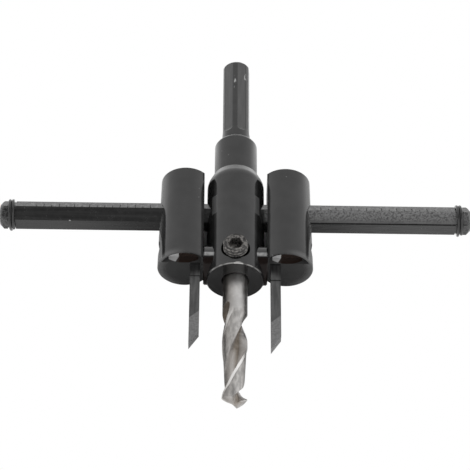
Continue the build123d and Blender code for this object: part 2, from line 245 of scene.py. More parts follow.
class Surface(Tree):
    """A material's node tree. Its x, y and z are in millimetres from where the bar crosses the hub's axis."""

    def __init__(self, name: str) -> None:
        """Makes the material, with its shader and output.

        Args:
            name: The material's name.
        """
        self.material = bpy.data.materials.new(name)
        self.material.use_nodes = True
        super().__init__(self.material.node_tree)
        self.output = self.add("ShaderNodeOutputMaterial")
        self.shader = self.add("ShaderNodeBsdfPrincipled")
        self.tree.links.new(self.shader.outputs[0], self.output.inputs[0])
        self.place = self.get("ShaderNodeTexCoord", out="Object")
        from_crossing = self.get("ShaderNodeVectorMath", {0: self.place, 1: CROSSING}, operation="SUBTRACT")
        scaled = self.get("ShaderNodeVectorMath", {0: from_crossing, "Scale": 1 / MM}, operation="SCALE")
        self.x, self.y, self.z = self.parts(scaled)
        self.base = grey(0.0)

    def noise(self, scale: float, detail: float, stretch: Triple) -> Value:
        """Noise with so many features in a metre, so many finer layers and a share of the scale along each axis."""
        spot = self.get("ShaderNodeMapping", {"Vector": self.place, "Scale": stretch})
        return self.get("ShaderNodeTexNoise", {"Vector": spot, "Scale": scale, "Detail": detail})

    def patches(
        self, scale: float, detail: float = 3.0, stretch: Triple = (1, 1, 1), edges: Span = (0.3, 0.7),
        levels: Span = (0.0, 1.0),
    ) -> Value:
        """Noise raised to patches, whose edges are two of its values and whose levels are the two results."""
        return self.ramp(self.noise(scale, detail, stretch), *edges, *levels)

    def specks(self, scale: float, size: float, share: float) -> Value:
        """1 on specks of that size in a cell, and 0 elsewhere and in a share of the cells."""
        cells = self.add("ShaderNodeTexVoronoi", {"Vector": self.place, "Scale": scale}).outputs
        pick = self.get("ShaderNodeSeparateColor", {0: Value(self, cells["Color"])})
        return self.fall(Value(self, cells["Distance"]), size * 0.5, size) * self.ramp(pick, share, share + 0.05)

    def stored(self, name: str) -> Value:
        """A value that the mesh keeps with each vertex."""
        return self.get("ShaderNodeAttribute", out="Fac", attribute_name=name, attribute_type="GEOMETRY")

    def grazing(self, start: float) -> Value:
        """0 where the surface faces the eye, 1 where it is seen edge on, rising from start."""
        return self.ramp(self.get("ShaderNodeLayerWeight", {"Blend": 0.5}, "Facing"), start, 1.0)

    def within(self, value: Value, low: float, high: float, soft: float) -> Value:
        """1 while value lies between low and high, fading to 0 over the soft width outside."""
        return self.ramp(value, low - soft, low) * self.fall(value, high, high + soft)

    def reach(self, across: Value, height: Value) -> Value:
        """Distance from the line where both values are 0."""
        return self.math("SQRT", across * across + height * height)

    def relief(self, grain: Grain) -> None:
        """Gives the shader the fine bump of its lines and pits."""
        lines = self.noise(grain.line_scale, 2.0, grain.worked.value) * grain.line_depth
        pits = self.noise(grain.pit_scale, 3.0, (1, 1, 1)) * grain.pit_depth
        self.set(Normal=self.get("ShaderNodeBump", {"Strength": 1.0, "Distance": 1.0, "Height": lines + pits}))

    def set(self, **values: object) -> None:
        """Sets or links the shader's inputs, named with underscores for spaces."""
        for name, value in values.items():
            self.feed(self.shader.inputs[name.replace("_", " ")], value)

    def colour(self, look: Look) -> "Value | Colour":
        """Turns a look into a colour.

        Args:
            look: A grey level, a tone or a colour.

        Returns:
            The colour, plain or from a node.
        """
        if isinstance(look, float):
            return grey(look)
        if isinstance(look, Tone):
            dark, light = (grey(level, warm) for level, warm in zip(look.levels, look.warm))
            return self.mix(self.patches(look.scale, look.detail, look.stretch, look.edges), dark, light)
        return look

    def paint(self, mask: Number, look: Look) -> None:
        """Covers the base colour so far where the mask is 1."""
        self.base = self.mix(mask, self.base, self.colour(look))
        self.set(Base_Color=self.base)

    def roughen(self, amount: Value) -> None:
        """Adds to the roughness so far."""
        socket = self.shader.inputs["Roughness"]
        self.feed(socket, Value(self, socket.links[0].from_socket) + amount)

    def dull(self, mask: Value, coat: float, share: float = 1.0) -> None:
        """Takes the clear coat and a share of the specular light away where the mask is 1."""
        self.set(Specular_IOR_Level=0.5 - mask * (0.5 * share), Coat_Weight=(1.0 - mask) * coat)


# ---- finishes ----


@dataclass(frozen=True)
class Finish:
    """A steel's tone, shine and relief, on which each finish lays its own patterns. Sizes are in millimetres."""

    name: str
    tone: Look
    roughness: Span
    grain: Grain = Grain()
    shine_scale: float = 900.0

    def pattern(self, s: Surface) -> None:
        """Lays the finish's own patterns on the surface."""

    def material(self) -> Material:
        """Builds the finish's material."""
        s = Surface(self.name)
        s.paint(1.0, self.tone)
        s.set(Roughness=s.patches(self.shine_scale, levels=self.roughness))
        s.relief(self.grain)
        self.pattern(s)
        return s.material


@dataclass(frozen=True)
class BlackOxide(Finish):
    """Glossy, oiled black oxide on turned steel, with a few specks of dust."""

    name: str = "black_oxide"
    tone: Look = Tone((0.009, 0.018), 260.0, 4.0)
    roughness: Span = (0.10, 0.18)
    grain: Grain = Grain(Turned.ROUND_Y, 2600.0, 1.4e-6, 5200.0, 0.9e-6)
    shine_scale: float = 700.0
    coat: float = 0.28
    coat_roughness: float = 0.05
    speck_level: float = 0.16

    def pattern(self, s: Surface) -> None:
        """Adds the specks and the oil's coat."""
        s.paint(s.specks(420.0, 0.10, 0.82), self.speck_level)
        s.set(Coat_Weight=self.coat, Coat_Roughness=self.coat_roughness)


@dataclass(frozen=True)
class HubOxide(BlackOxide):
    """The hub's black oxide: satin flats, scuffs near the shank's end, painted highlights on the collar's edges and
    the foot's rim, a painted reflection on each side and a painted shadow round the screw hole.
    """

    name: str = "hub_black_oxide"
    flats_start: float = 36.5
    flat: Tone = Tone((0.0496, 0.0744), 900.0, 5.0, (1, 0.12, 1))
    flat_roughness: float = 0.22
    bevel: Span = (4.54, 4.63)
    scuffs: tuple[Triple, ...] = ((-0.5, 56.0, 61.0), (3.0, 60.5, 63.5))
    scuff_level: float = 0.42
    collar: Span = (13.5, 34.0)
    grazing_highlight_level: float = 0.36
    side_reflection_x: Span = (6.3, 7.6)
    side_reflection_y: Span = (-3.5, 3.9)
    side_reflection_level: float = 0.085
    screw_y: float = (middle("drill_set_screw").y - BAR_Y) / MM
    screw_ring: Span = (4.0, 4.6)
    gap_shadow_level: float = 0.002
    foot: float = corner("hub_body").y
    foot_radius: float = 9.4
    rim: float = 0.4
    worn_colour: Colour = grey(0.52, 0.02)

    def scuffed(self, s: Surface) -> Value:
        """Where the shank is scuffed to bare steel, in streaks."""
        marks = 0.0
        for x, low, high in self.scuffs:
            marks = s.most(marks, s.within(s.x, x - 0.15, x + 0.15, 0.35) * s.within(s.y, low, high, 1.2))
        return marks * s.patches(1500.0, 4.0, (1, 0.35, 1), (0.50, 0.60))

    def worn(self, s: Surface) -> Value:
        """Painted highlight where the foot's front rim is painted as bright steel, most of all below the screw.

        Args:
            s: The hub's surface.

        Returns:
            1 where the highlight is painted.
        """
        outer = s.within(s.reach(s.x, s.z), self.foot_radius - self.rim, self.foot_radius + self.rim, 0.05)
        above_foot = s.y - self.foot
        patchy = s.patches(420.0, edges=(0.42, 0.60), levels=(0.12, 0.55))
        edge = outer * s.within(above_foot, -self.rim, 0.6 * self.rim, 0.1)
        edge = edge * s.most(patchy, s.within(s.x, -0.4, 2.2, 0.5))
        blotch = s.within(s.x, 0.6, 1.4, 0.9) * s.within(above_foot, 0.2, 0.5, 0.18)
        blotch = blotch * s.patches(900.0, edges=(0.4, 0.6), levels=(0.3, 0.9))
        return s.ramp(s.z, 3.5, 6.0) * s.most(edge, blotch)

    def pattern(self, s: Surface) -> None:
        """Adds the milled flats, the scuffs, and the painted highlights, reflection and shadow.

        Args:
            s: The hub's surface.
        """
        super().pattern(s)
        on_shank = s.ramp(s.y, self.flats_start, self.flats_start + 1.0)
        s.paint(on_shank * s.fall(s.reach(s.x, s.z), *self.bevel), self.flat)
        s.roughen(on_shank * self.flat_roughness)
        s.paint(self.scuffed(s), self.scuff_level)
        # Painted highlight: the turned edges of the collar and its shoulder are painted lighter where they are seen
        # edge on
        s.paint(s.grazing(0.5) * s.within(s.y, *self.collar, 1.0), self.grazing_highlight_level)
        # Painted reflection: each side carries a lighter patch beside the bar
        mirrored = s.within(abs(s.x), *self.side_reflection_x, 0.3) * s.within(s.y, *self.side_reflection_y, 0.3)
        s.paint(mirrored * s.ramp(s.z, 0.0, 0.5), self.side_reflection_level)
        # Painted shadow: a dark ring round the screw, where the gap round it lies in shade, with its coat and shine
        # taken off
        oiled = s.within(s.reach(s.x, s.y - self.screw_y), *self.screw_ring, 0.15) * s.ramp(s.z, 6.0, 6.5)
        s.paint(oiled, self.gap_shadow_level)
        s.dull(oiled, self.coat)
        # Painted highlight on the foot's front rim, painted as bright steel
        worn = self.worn(s)
        s.paint(worn, self.worn_colour)
        s.set(Metallic=worn * 0.8)


@dataclass(frozen=True)
class HolderOxide(BlackOxide):
    """A holder's black oxide, with painted highlights on its edges, foot rim and lip, and its cutter recess painted
    brown, with painted light in its shaded corners and a painted reflection at one end.
    """

    side: Side = Side.LEFT
    radius: float = 8.7
    lip: float = 0.7
    recess: float = 3.2
    recess_depth: float = 4.0
    mouth_shift: float = 0.25
    mouth_half: Span = (4.85, 4.9)
    mouth_rise: float = 1.1
    look: float = 40.0
    painted_light_level: float = 0.075
    grazing_highlight_level: float = 0.26
    rim_width: float = 3.2
    rim_highlight_level: float = 0.11
    brown: Colour = (0.030, 0.019, 0.015, 1.0)
    reflection_edge_x: float = -3.0
    reflection_edge_slope: float = 0.5
    recess_reflection_level: float = 0.62
    worn_level: float = 0.45

    def pattern(self, s: Surface) -> None:
        """Adds the recess's colours, its painted light and reflection, and the painted highlights on its lip and the
        foot's rim.

        Args:
            s: The holder's surface.
        """
        super().pattern(s)
        sign, inner, fade = self.side.value, self.radius - self.lip, 0.05
        across = s.x - sign * middle("right_bar_screw").x / MM
        above, along = s.z - self.recess, s.y - corner(self.side.node("holder")).y
        reach = s.reach(across, s.z)
        inside = s.ramp(above, -0.12, -0.06) * s.fall(reach, inner, inner + fade)
        inside = inside * s.within(along, fade, self.recess_depth, fade)
        # Only the mouth of the recess is painted brown: an oval whose middle lies a little outwards
        out, rise = (across - sign * self.mouth_shift) / self.mouth_half[0], above / self.mouth_half[1]
        mouth = s.fall(out * out + rise * rise, 0.94, 1.0)
        # Seen from the front its lower edge rises towards both ends: what lies below it is painted light, as the
        # foot, where the recess lies in shade
        seen = along * cos(radians(self.look)) + above * sin(radians(self.look))
        shut = inside * s.most(s.fall(seen - out * out * self.mouth_rise, -0.1, 0.05), 1.0 - mouth)
        inside = inside * (1.0 - shut)
        # Painted highlight: lighter where the holder is seen edge on
        s.paint(s.grazing(0.55), self.grazing_highlight_level)
        # Painted highlight: the foot is painted a little lighter towards its outer rim
        rim = s.ramp(reach, self.radius - self.rim_width, self.radius) * s.ramp(across * sign, -1.0, 5.5)
        s.paint(rim * s.fall(along, 0.0, 2.5), self.rim_highlight_level)
        s.paint(shut, self.painted_light_level)
        s.paint(inside, self.brown)
        # Painted reflection: one end of the recess is painted light, as bare steel, up to a slanting line
        bare = s.fall(across - self.reflection_edge_x - along * self.reflection_edge_slope, -0.1, 0.15)
        s.paint(inside * bare, self.recess_reflection_level)
        # Painted highlight along the lip of the recess, painted as bright steel
        edge = s.ramp(above, 0.0, 0.8) * s.ramp(reach, inner, inner + fade) * s.fall(along, 0.15, 0.35)
        worn = edge * mouth * s.patches(500.0, edges=(0.35, 0.55), levels=(0.3, 0.9))
        s.paint(worn, self.worn_level)
        s.set(Metallic=worn * 0.7)


@dataclass(frozen=True)
class BossOxide(BlackOxide):
    """A side boss's black oxide, with a painted highlight along its crown and painted shade, dark brown, below it."""

    name: str = "boss_black_oxide"
    crown: Span = (-21.05, -20.15)
    brown: Colour = (0.013, 0.009, 0.008, 1.0)
    dulled: float = 0.7
    crown_highlight_level: float = 0.34

    def pattern(self, s: Surface) -> None:
        """Adds the crown's painted highlight and the painted brown shade below it.

        Args:
            s: The boss's surface.
        """
        super().pattern(s)
        # Painted shade: below the crown the boss is painted dark brown and loses its coat and most of its shine
        below = s.fall(s.y, self.crown[0] - 1.15, self.crown[0] - 0.15)
        s.paint(below, self.brown)
        s.dull(below, self.coat, self.dulled)
        # Painted highlight along the crown, painted as bright steel
        crown_highlight = s.within(s.y, *self.crown, 0.5) * s.patches(900.0, edges=(0.3, 0.55), levels=(0.6, 1.0))
        s.paint(crown_highlight, self.crown_highlight_level)
        s.set(Metallic=crown_highlight * 0.5)


@dataclass(frozen=True)
class BarOxide(Finish):
    """Satin black oxide of the drawn bar, burred by its stamped marks and painted lighter there as a highlight, with
    the right arm's front scraped.
    """

    name: str = "bar_black_oxide"
    tone: Look = Tone((0.018, 0.034), 900.0, 4.0, (0.04, 1, 1))
    roughness: Span = (0.16, 0.28)
    grain: Grain = Grain(Turned.ALONG_X, 2200.0, 2.0e-6, 4200.0, 1.8e-6)
    shine_scale: float = 600.0
    ridge: float = 2.31
    burr_highlight_level: float = 0.18
    right_arm: Span = (9.0, 10.0)
    edge_front: float = -4.0
    facet: Span = (0.6, 4.6)
    scaly: Span = (2.4, 3.4)
    scraped_level: float = 0.24
    under_levels: Span = (0.035, 0.055)
    dark_edge_reflection_level: float = 0.006
    nick_x: Span = (-54.5, -54.2)
    nick_level: float = 0.5
    rough_end: float = 74.6
    end_level: float = 0.09
    speck_level: float = 0.13

    def scrape(self, s: Surface) -> None:
        """Scrapes the right arm: scales high on its front facet, lines lower down and below its corner, and a painted
        dark reflection along that corner.

        Args:
            s: The bar's surface.
        """
        arm = s.ramp(s.x, *self.right_arm)
        above = s.z - self.ridge
        front = arm * s.fall(s.y, -0.1, 0.1) * s.ramp(s.y - self.edge_front, 0.02, 0.12)
        scales = s.patches(2300.0, 3.0, (0.7, 0.8, 0.8), (0.36, 0.60), (0.35, 1.0))
        lines = s.patches(2000.0, 3.0, (0.07, 1, 1), (0.34, 0.64), (0.6, 1.0))
        upper = s.ramp(s.z, *self.scaly)
        worked = scales * upper + lines * (1.0 - upper)
        s.paint(front * s.ramp(s.z, *self.facet, 0.16, 1.0) * worked, self.scraped_level)
        dark, light = (grey(level) for level in self.under_levels)
        under = arm * s.fall(above, -0.4, -0.2) * s.fall(s.y, -3.5, -3.0)
        s.paint(under, s.mix(s.ramp(lines, 0.6, 1.0), dark, light))
        # Painted reflection: a dark line lies along the corner between the two facets
        s.paint(arm * s.within(above, -0.10, 0.16, 0.1) * s.fall(s.y, -3.0, -2.0), self.dark_edge_reflection_level)

    def pattern(self, s: Surface) -> None:
        """Adds the painted highlight on the marks' burred steel, the scrapes, one nick and the rough ends.

        Args:
            s: The bar's surface.
        """
        above = s.z - self.ridge
        # Painted highlight: the marks' burred steel catches the light along the upper facet
        burr_highlight = s.patches(1000.0, 3.0, (1, 0.5, 0.5), (0.50, 0.62)) * s.ramp(s.y, -0.2, 0.4)
        s.paint(burr_highlight * s.ramp(above, 0.0, 0.6, 0.1, 0.6), self.burr_highlight_level)
        self.scrape(s)
        # One nick shines on the left arm's front corner
        nick = s.within(s.x, *self.nick_x, 0.15) * s.within(above, -0.12, 0.05, 0.1) * s.fall(s.y, -3.0, -2.0)
        s.paint(nick, self.nick_level)
        # Both sawn ends are rough and grey
        ends = s.ramp(abs(s.x), self.rough_end - 0.3, self.rough_end)
        s.paint(ends * s.patches(1700.0, 4.0, edges=(0.42, 0.6)), self.end_level)
        s.paint(s.specks(520.0, 0.10, 0.72), self.speck_level)


@dataclass(frozen=True)
class DrillSteel(Finish):
    """Ground twist drill: bright shank and margins, duller lands, brownish flutes."""

    name: str = "drill_steel"
    tone: Look = Tone((0.40, 0.575), 1000.0, 4.0, (1, 0.4, 1), (0.35, 0.65), (0.03, 0.03))
    roughness: Span = (0.30, 0.42)
    grain: Grain = Grain(Turned.ROUND_Y, 2400.0, 1.8e-6, 4200.0, 1.5e-6)
    shank: Tone = Tone((0.527, 0.651), 420.0, 4.0, warm=(0.02, 0.02))
    shank_end: float = -40.5
    margin: Colour = grey(0.95, 0.015)
    flute: Tone = Tone((0.187, 0.289), 420.0, 4.0, edges=(0.35, 0.65), warm=(0.20, 0.15))
    flute_metallic: float = 0.45
    flute_roughness: float = 0.2
    lit: Span = (-74.0, -57.0)
    lit_colour: Colour = grey(0.92, 0.03)

    def pattern(self, s: Surface) -> None:
        """Adds the flutes and margins, which the mesh marks, the plain shank and a painted shade over its sides.

        Args:
            s: The drill's surface.
        """
        grooved = s.stored("flute")
        # Soft light lies in the lower end of the front flute
        lit = s.fall(s.x, -1.8, 1.0) * s.within(s.y, *self.lit, 3.5) * grooved
        s.paint(grooved, s.mix(lit, s.colour(self.flute), self.lit_colour))
        s.paint(s.stored("margin"), self.margin)
        above = s.ramp(s.y - self.shank_end, -0.8, 0.8)
        s.paint(above * (1.0 - grooved), self.shank)
        # Painted shade: the left side is painted darkest, and the right edge a little darker
        left = s.ramp(s.x, -3.5, 1.0, s.ramp(above, 0.0, 1.0, 0.62, 0.30), 1.0)
        side_shade = s.most(left * s.ramp(s.x, 1.6, 3.8, 1.0, 0.72), lit * 0.95)
        tint = {0: side_shade, 1: s.math("POWER", side_shade, 1.04), 2: s.math("POWER", side_shade, 1.08)}
        s.paint(1.0, s.mix(1.0, s.base, s.get("ShaderNodeCombineColor", tint), "MULTIPLY"))
        s.set(Metallic=s.ramp(grooved, 0.0, 1.0, 1.0, self.flute_metallic) * (1.0 - lit * 0.7))
        s.roughen(grooved * self.flute_roughness)


@dataclass(frozen=True)
class CutterSteel(Finish):
    """Dark hardened bar of a cutter, ground bright below a slanting line near its tip."""

    tone: Look = Tone((0.06, 0.104), 1300.0, 4.0, (1, 0.12, 1))
    roughness: Span = (0.28, 0.42)
    grain: Grain = Grain(Turned.ALONG_Y, 1700.0, 2.4e-6, 4200.0, 1.8e-6)
    side: Side = Side.LEFT
    ground: Tone = Tone((0.1615, 0.2185), 1500.0, edges=(0.35, 0.65))
    grind_length: float = 10.1
    slope: float = 42.5

    def pattern(self, s: Surface) -> None:
        """Adds the ground tip."""
        low = corner(self.side.node("cutter"))
        line = (s.x - low.x) * tan(radians(self.slope)) + (low.y + self.grind_length)
        s.paint(s.ramp(line - s.y, 0.0, 0.15), self.ground)
        s.set(Metallic=0.65, Coat_Weight=0.3, Coat_Roughness=0.2)


@dataclass(frozen=True)
class ScrewSteel(Finish):
    """Oiled black steel of the set screws, bright from use on the thread's crests and, with a painted highlight, on
    the socket's rim, and with a painted reflection low in the socket.
    """

    name: str = "screw_steel"
    tone: Look = grey(0.016, 0.05)
    roughness: Span = (0.26, 0.42)
    grain: Grain = Grain(pit_scale=3600.0, pit_depth=4.0e-6)
    shine_scale: float = 1100.0
    worn: Colour = grey(0.26, 0.05)
    metallic: Span = (0.1, 0.8)

    def pattern(self, s: Surface) -> None:
        """Adds the bright steel, painted highlight and painted reflection that the mesh marks."""
        shine = s.stored("wear_and_sheen") * s.patches(1300.0, 5.0, edges=(0.36, 0.62))
        s.paint(shine, self.worn)
        s.set(Metallic=s.ramp(shine, 0.0, 1.0, *self.metallic))


@dataclass(frozen=True)
class MarkSteel(Finish):
    """Floor of a stamped mark, filled with old oil and darker than the burred steel round it."""

    name: str = "stamped_mark"
    tone: Look = Tone((0.006, 0.0192), 1500.0)
    roughness: Span = (0.4, 0.6)

    def pattern(self, s: Surface) -> None:
        """Takes the shine off."""
        s.set(Metallic=0.0, Specular_IOR_Level=0.15)


# ---- geometry trees ----


class Pattern(Tree):
    """A geometry tree with named inputs, applied once and turned into a plain mesh."""

    def __init__(self, name: str, **sizes: float) -> None:
        """Makes the tree.

        Args:
            name: The tree's name.
            sizes: Name and value of each input.
        """
        group = bpy.data.node_groups.new(name, "GeometryNodeTree")
        super().__init__(group)
        self.sizes = sizes
        group.interface.new_socket("Geometry", in_out="OUTPUT", socket_type="NodeSocketGeometry")
        for size, value in sizes.items():
            kind = "NodeSocketInt" if isinstance(value, int) else "NodeSocketFloat"
            group.interface.new_socket(size, in_out="INPUT", socket_type=kind)
        inputs = self.add("NodeGroupInput").outputs
        self.size = SimpleNamespace(**{size: Value(self, inputs[size]) for size in sizes})
        self.output = self.add("NodeGroupOutput")

    def sheet(self) -> tuple[Value, Value, Value]:
        """Flat sheet of vertices, as many as the inputs columns and rows say.

        Returns:
            The sheet, and each vertex's place across and along it, from 0 to 1.
        """
        counts = {"Vertices X": self.size.columns, "Vertices Y": self.size.rows}
        grid = self.get("GeometryNodeMeshGrid", {"Size X": 1.0, "Size Y": 1.0, **counts})
        across, along, _ = self.parts(self.get("GeometryNodeInputPosition"))
        return grid, across + 0.5, along + 0.5

    def store(self, geometry: Value, name: str, value: Value) -> Value:
        """The geometry with a named value kept at each vertex, taken before anything moves."""
        inputs = {"Geometry": geometry, "Name": name, "Value": value}
        return self.get("GeometryNodeStoreNamedAttribute", inputs, data_type="FLOAT", domain="POINT")

    def bend(self, sheet: Value, place: Value) -> Value:
        """The sheet with its vertices moved to their places and its seam joined."""
        bent = self.get("GeometryNodeSetPosition", {"Geometry": sheet, "Position": place})
        return self.get("GeometryNodeMergeByDistance", {"Geometry": bent, "Distance": MERGE})

    def mesh(self, geometry: Value, material: Material, name: str) -> Mesh:
        """Runs the tree and returns its result.

        Args:
            geometry: The finished geometry.
            material: The material that every face gets.
            name: Name of the new mesh.

        Returns:
            A plain mesh with no modifier.
        """
        real = self.get("GeometryNodeRealizeInstances", {0: geometry})
        dressed = self.get("GeometryNodeSetMaterial", {"Geometry": real, "Material": material})
        self.feed(self.output.inputs[0], dressed)
        holder = add_object(f"{name}_pattern", bpy.data.meshes.new(f"{name}_pattern"))
        modifier = holder.modifiers.new("pattern", "NODES")
        modifier.node_group = self.tree
        for item in self.tree.interface.items_tree:
            if item.in_out == "INPUT":
                modifier[item.identifier] = self.sizes[item.name]
        shown = holder.evaluated_get(bpy.context.evaluated_depsgraph_get())
        mesh = bpy.data.meshes.new_from_object(shown)
        bpy.data.objects.remove(holder)
        mesh.name = name
        return mesh


def settle(shape: Shape, mesh: Mesh, material: Material, crease: float) -> None:
    """Writes an edited shape into its mesh, with outward faces, one material and sharp creases.

    Args:
        shape: The shape, which is freed.
        mesh: The mesh that takes it.
        material: The material that every face gets.
        crease: Angle in degrees from which an edge is sharp.
    """
    bmesh.ops.recalc_face_normals(shape, faces=shape.faces)
    shape.to_mesh(mesh)
    shape.free()
    mesh.materials.clear()
    mesh.materials.append(material)
    mesh.polygons.foreach_set("material_index", [0] * len(mesh.polygons))
    mesh.shade_smooth()
    mesh.set_sharp_from_angle(angle=radians(crease))


def add_piece(mesh: Mesh, name: str, body: str) -> bpy.types.Object:
    """Adds a finished mesh as a piece of the object.

    Args:
        mesh: The mesh, in its place.
        name: The piece's name.
        body: The body that it moves with.

    Returns:
        The new object.
    """
    piece = add_object(name, mesh)
    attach(piece, body)
    LOG.info("made %s with %d faces on %s", name, len(mesh.polygons), body)
    return piece


def dress(node: str, material: Material) -> None:
    """Gives a CAD node its material."""
    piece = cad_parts[node]
    piece.data.materials.clear()
    piece.data.materials.append(material)
    LOG.info("dressed %s in %s", node, material.name)


# ---- set screws ----


@dataclass
class SetScrew:
    """Headless screw with a helical thread, a hexagon socket and a cup point."""

    node: str
    axis: Vector
    socket: float
    material: Material
    pitch: float = 1.25 * MM
    thread_depth: float = 0.54
    crest_slope: float = 1.18
    rows_a_turn: int = 14
    chamfer: float = 0.7 * MM
    socket_depth: float = 0.9
    socket_reflection: float = 2.2
    sides: int = 72
    crease: float = 32.0

    def __post_init__(self) -> None:
        """Takes the screw's place and size from its CAD node."""
        low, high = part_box(self.node)
        half = (high - low) / 2
        along = abs(half.dot(self.axis))
        self.length = 2 * along
        self.radius = max(abs(part) for part in half.cross(self.axis))
        self.point = middle(self.node) - self.axis * along

    def thread(self) -> Mesh:
        """Threaded wall between the two chamfers, open at both ends.

        Returns:
            The wall's mesh, along +Z from the point, with "wear_and_sheen" set at each vertex.
        """
        t = Pattern(
            f"{self.node}_thread", radius=self.radius, length=self.length, pitch=self.pitch,
            depth=self.thread_depth * self.pitch, chamfer=self.chamfer, columns=self.sides + 1,
            rows=int(self.length / self.pitch * self.rows_a_turn) + 1,
        )
        size = t.size
        sheet, turn, share = t.sheet()
        height = share * size.length
        phase = t.math("FRACT", height / size.pitch - turn + 8.0)
        crest = t.least(abs(phase - 0.5) * 2.0 * self.crest_slope, 1.0)
        threaded = size.radius - (1.0 - crest) * size.depth
        edge = t.least(height, size.length - height)
        radius = t.least(threaded, size.radius - size.chamfer + edge)
        angle = turn * (2 * pi)
        place = t.vector(radius * t.math("COSINE", angle), radius * t.math("SINE", angle), height)
        worn = t.store(sheet, "wear_and_sheen", t.ramp(crest, 0.45, 1.0, 0.1, 1.0))
        return t.mesh(t.bend(worn, place), self.material, f"{self.node}_wall")

    def loop(self, shape: Shape, height: float, radius: float, flats: float = 0.0) -> list[Vert]:
        """Closed row of vertices round the axis.

        Args:
            shape: The shape that gets them.
            height: Their height above the point.
            radius: The circle's radius.
            flats: Width across flats, for a hexagon in place of the circle.

        Returns:
            The vertices in order.
        """
        verts = []
        for k in range(self.sides):
            angle = 2 * pi * k / self.sides
            reach = flats / 2 / cos(angle % (pi / 3) - pi / 6) if flats else radius
            verts.append(shape.verts.new((reach * cos(angle), reach * sin(angle), height)))
        return verts

    def close(self, shape: Shape, loops: Sequence[list[Vert]]) -> None:
        """Joins each loop of vertices to the next with faces, and fills the last one.

        Args:
            shape: The shape that gets the faces.
            loops: The loops in order.
        """
        for first, second in zip(loops, loops[1:]):
            for k in range(self.sides):
                following = (k + 1) % self.sides
                shape.faces.new((first[k], first[following], second[following], second[k]))
        shape.faces.new(loops[-1])

    def ends(self, shape: Shape) -> None:
        """Adds the head with its socket and the cup point to the wall.

        Args:
            shape: The wall, to which the ends are joined.
        """
        layer = shape.verts.layers.float["wear_and_sheen"]
        rim, reach = self.radius - self.chamfer, self.socket / 2 / cos(pi / 6)
        deep = self.socket * self.socket_depth
        # Depth, radius, width across flats and share of bright steel and painted highlight of each row, from the rim
        # to the socket's floor
        rows = (
            (0.0, rim, 0.0, 0.9),
            (0.02 * MM, rim - 0.12 * MM, 0.0, 0.8),
            (0.10 * MM, reach + 0.28 * MM, 0.0, 0.7),
            (0.34 * MM, reach + 0.04 * MM, 0.0, 1.0),
            (0.55 * MM, 0.0, self.socket, 0.3),
            (deep, 0.0, self.socket, 0.0),
            (deep + 0.15 * MM, self.socket * 0.36, 0.0, 0.0),
            (deep + 0.75 * MM, self.socket * 0.10, 0.0, 0.0),
        )
        head = []
        for depth, radius, flats, wear_and_sheen in rows:
            head.append(self.loop(shape, self.length - depth, radius, flats))
            for vert in head[-1]:
                vert[layer] = wear_and_sheen
        # Painted reflection: the socket's wall is painted bright low down at one side
        for vert in head[5] + head[6]:
            if vert.co.y > 0 and vert.co.x < 0.2 * self.socket:
                vert[layer] = self.socket_reflection
        self.close(shape, head)
        cup = ((0.0, rim), (0.0, rim * 0.82), (0.55 * MM, rim * 0.25))
        self.close(shape, [self.loop(shape, height, radius) for height, radius in cup])

    def build(self) -> None:
        """Makes the screw in place of its CAD node."""
        mesh = self.thread()
        shape = bmesh.new()
        shape.from_mesh(mesh)
        self.ends(shape)
        bmesh.ops.remove_doubles(shape, verts=shape.verts, dist=2 * MERGE)
        turn = Vector((0, 0, 1)).rotation_difference(self.axis).to_matrix().to_4x4()
        bmesh.ops.transform(shape, matrix=Matrix.Translation(self.point) @ turn, verts=shape.verts)
        settle(shape, mesh, self.material, self.crease)
        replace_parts(add_piece(mesh, f"{self.node}_threaded", self.node), self.node)


# ---- cross bar ----


@dataclass
class CrossBar:
    """Hexagonal bar with stamped graduations on both arms, and its stop rings."""

    flats: float = 8.0 * MM
    facet: float = 60.0
    first_mark: float = 28.0 * MM
    pitch: float = 2.5 * MM
    marks: int = 16
    mark_width: float = 0.28 * MM
    short_mark: float = 1.5 * MM
    long_mark: float = 2.6 * MM
    proud: float = 0.012 * MM

    def graduations(self, side: Side, material: Material) -> None:
        """Stamped lines on the arm's upper facet, with every second one longer.

        Args:
            side: The arm.
            material: The marks' material.
        """
        t = Pattern(
            f"{side.node('arm')}_graduations", marks=self.marks, pitch=self.pitch, width=self.mark_width,
            short=self.short_mark, long=self.long_mark, proud=self.proud,
        )
        size = t.size
        row = t.get("GeometryNodeMeshLine", {"Count": size.marks, "Offset": t.vector(size.pitch)})
        cube = t.get("GeometryNodeMeshCube", {"Size": (1.0, 1.0, 1.0)})
        every_second = t.math("MODULO", t.get("GeometryNodeInputIndex"), 2.0)
        length = size.long + every_second * (size.short - size.long)
        scale = t.vector(size.width, length, size.proud)
        lines = t.get("GeometryNodeInstanceOnPoints", {"Points": row, "Instance": cube, "Scale": scale})
        moves = {"Instances": lines, "Translation": t.vector(0.0, length * 0.5), "Local Space": False}
        mesh = t.mesh(t.get("GeometryNodeTranslateInstances", moves), material, side.node("graduations"))
        # The marks hang from the bar's upper corner, and the left arm's mirror the right arm's
        facet, sign = radians(self.facet), side.value
        outwards, down = Vector((0, cos(facet), sin(facet))), Vector((0, -sin(facet), cos(facet)))
        top = outwards * (self.flats / 2) + down * (self.flats / 2 * tan(radians(30)))
        mesh.transform(Matrix((
            (sign, 0, 0, sign * self.first_mark),
            (0, -down.y, outwards.y, BAR_Y + top.y),
            (0, -down.z, outwards.z, AXIS_Z + top.z),
            (0, 0, 0, 1),
        )))
        if side is Side.LEFT:
            mesh.flip_normals()
        mesh.update()
        add_piece(mesh, side.node("graduations"), "hub")

    def build(self) -> None:
        """Dresses the bar and its rings, and stamps both arms."""
        dress("cross_bar", BarOxide().material())
        grain = Grain(pit_scale=4200.0, pit_depth=2.0e-6)
        wire = BlackOxide(name="ring_wire", tone=Tone((0.012, 0.03), 260.0, 4.0), grain=grain).material()
        marks = MarkSteel().material()
        for side in Side:
            dress(side.node("stop_ring"), wire)
            self.graduations(side, marks)


# ---- hub, drill, holders and cutters ----


